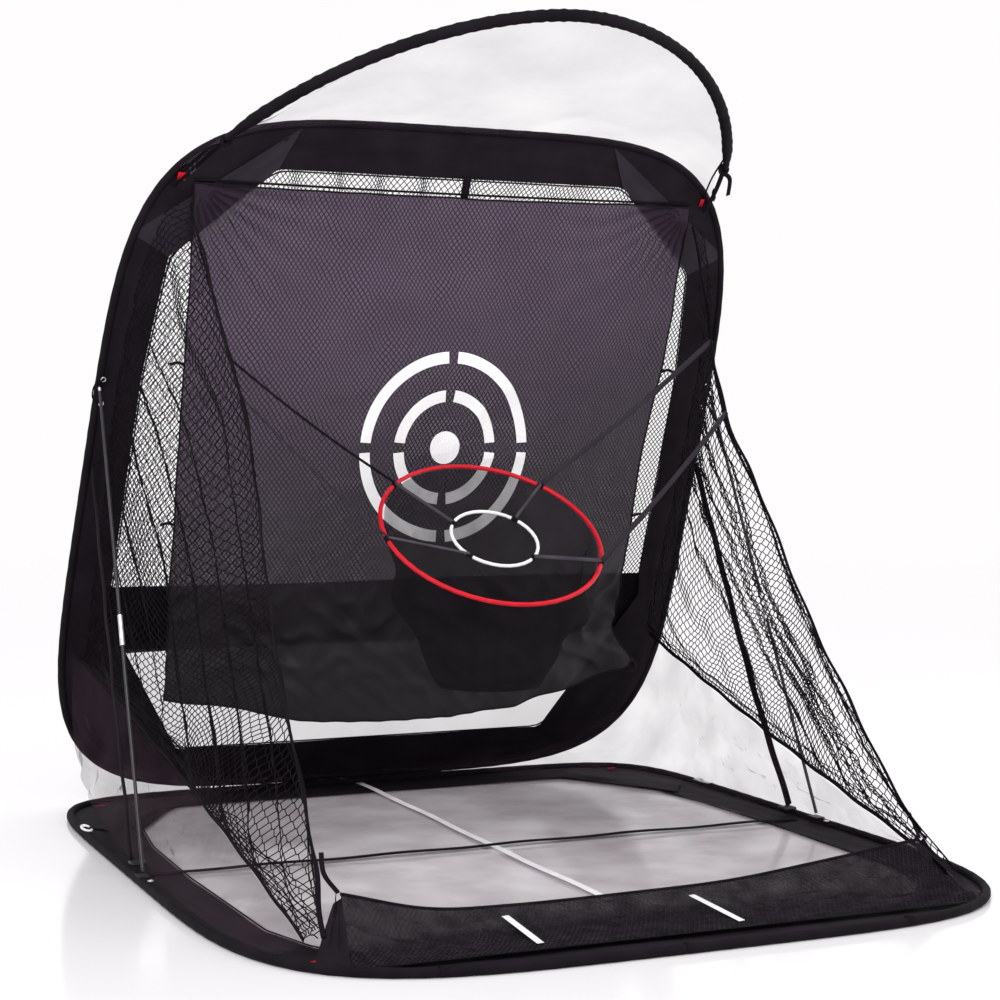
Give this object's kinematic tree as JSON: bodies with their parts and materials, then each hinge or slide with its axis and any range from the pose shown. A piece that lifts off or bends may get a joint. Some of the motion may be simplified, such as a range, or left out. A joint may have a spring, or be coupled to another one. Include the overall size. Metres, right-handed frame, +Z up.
{
  "type": "golf practice net",
  "caption": "Pop-up golf practice net with a leaning frame, side nets, arched mesh roof, hung target sheet, ball lip and a hung chipping ring with a bag",
  "frame": {"origin": "middle of the base loop footprint on the floor", "axes": "x across the net, to the right seen from the front; y from the open front to the hinged rear; z up"},
  "size_m": [2.14, 2.49, 2.3038],
  "materials": {
    "spring_wire": "bare spring steel",
    "black_fabric": "woven polyester, faint sheen",
    "black_net": "knotted polyester twine",
    "sheet_fabric": "brushed nylon sheet",
    "pale_mesh": "fine translucent mesh",
    "white_tape": "woven tape",
    "red_plastic": "moulded tube",
    "white_plastic": "moulded tube",
    "black_plastic": "moulded",
    "fibreglass": "pultruded rod",
    "silver": "bare metal"
  },
  "bodies": {
    "base": {"base_loop_wire": "spring_wire", "base_sleeve": "black_fabric", "base_border": "black_fabric", "floor_mesh": "pale_mesh", "base_cross_strap": "black_fabric", "floor_tape_centre": "white_tape", "floor_tape_left": "white_tape", "floor_tape_right": "white_tape", "front_wrap_tab_1": "black_fabric", "front_wrap_tab_2": "black_fabric", "front_wrap_tab_3": "black_fabric", "lip_cord": "black_fabric", "lip_mesh": "black_net", "lip_post_left": "black_fabric", "lip_gusset_left": "black_fabric", "front_webbing_left": "black_fabric", "side_net_left": "black_net", "lower_webbing_left": "black_fabric", "skirt_left": "pale_mesh", "tension_strap_left": "black_fabric", "pole_socket_left": "black_plastic", "lip_post_right": "black_fabric", "lip_gusset_right": "black_fabric", "front_webbing_right": "black_fabric", "side_net_right": "black_net", "lower_webbing_right": "black_fabric", "skirt_right": "pale_mesh", "tension_strap_right": "black_fabric", "pole_socket_right": "black_plastic", "ring_strap_front_left": "black_fabric", "ring_strap_front_right": "black_fabric", "ring_strap_rear_left": "black_fabric", "ring_strap_rear_right": "black_fabric"},
    "upright": {"upright_sleeve": "black_fabric", "upright_loop_wire": "spring_wire", "upright_border": "black_fabric", "back_net": "black_net", "back_band": "black_fabric", "sheet_top_cord": "black_fabric", "roof_buckle_left": "black_plastic", "roof_buckle_right": "black_plastic"},
    "sheet": {"target_sheet": "sheet_fabric"},
    "roof": {"roof_sleeve": "black_fabric", "roof_rod": "fibreglass", "roof_mesh": "pale_mesh", "roof_strap_left": "black_fabric", "roof_strap_right": "black_fabric"},
    "ring": {"ring_hoop": "red_plastic", "inner_hoop": "white_plastic", "ring_bag": "black_net"},
    "pole_left": {"pole_lower_left": "fibreglass", "pole_upper_left": "fibreglass", "pole_ferrule_left": "silver", "pole_foot_left": "black_plastic", "pole_tip_left": "silver"},
    "pole_right": {"pole_lower_right": "fibreglass", "pole_upper_right": "fibreglass", "pole_ferrule_right": "silver", "pole_foot_right": "black_plastic", "pole_tip_right": "silver"}
  },
  "joints": [
    {"name": "frame_fold", "type": "hinge", "parent": "base", "child": "upright", "pos_m": [0, 1.2299, 0.0364], "axis": [1, 0, 0], "range_deg": [0, 55], "deforming": ["lip_mesh", "front_webbing_left", "side_net_left", "lower_webbing_left", "skirt_left", "tension_strap_left", "front_webbing_right", "side_net_right", "lower_webbing_right", "skirt_right", "tension_strap_right", "ring_strap_front_left", "ring_strap_front_right", "ring_strap_rear_left", "ring_strap_rear_right"]},
    {"name": "sheet_swing", "type": "hinge", "parent": "upright", "child": "sheet", "pos_m": [0, 0.3405, 1.9235], "axis": [1, 0, 0], "range_deg": [0, 4.95]},
    {"name": "roof_fold", "type": "hinge", "parent": "upright", "child": "roof", "pos_m": [0, 0.372, 1.881], "axis": [1, 0, 0], "range_deg": [-33, 0], "deforming": ["roof_mesh", "roof_strap_left", "roof_strap_right"]},
    {"name": "ring_fold", "type": "hinge", "parent": "base", "child": "ring", "pos_m": [0, -1.505, 0.962], "axis": [1, 0, 0], "range_deg": [-31.9, 0], "deforming": ["ring_bag"]},
    {"name": "pole_swing_left", "type": "hinge", "parent": "base", "child": "pole_left", "pos_m": [-1.05, -0.02, 0.036], "axis": [1, 0, 0], "range_deg": [0, 101.75]},
    {"name": "pole_swing_right", "type": "hinge", "parent": "base", "child": "pole_right", "pos_m": [1.05, -0.02, 0.036], "axis": [1, 0, 0], "range_deg": [0, 101.75]}
  ],
  "couplings": [
    {"joint": "sheet_swing", "follows": "frame_fold", "ratio": 0.09},
    {"joint": "roof_fold", "follows": "frame_fold", "ratio": -0.6},
    {"joint": "ring_fold", "follows": "frame_fold", "ratio": -0.58},
    {"joint": "pole_swing_left", "follows": "frame_fold", "ratio": 1.85},
    {"joint": "pole_swing_right", "follows": "frame_fold", "ratio": 1.85}
  ]
}
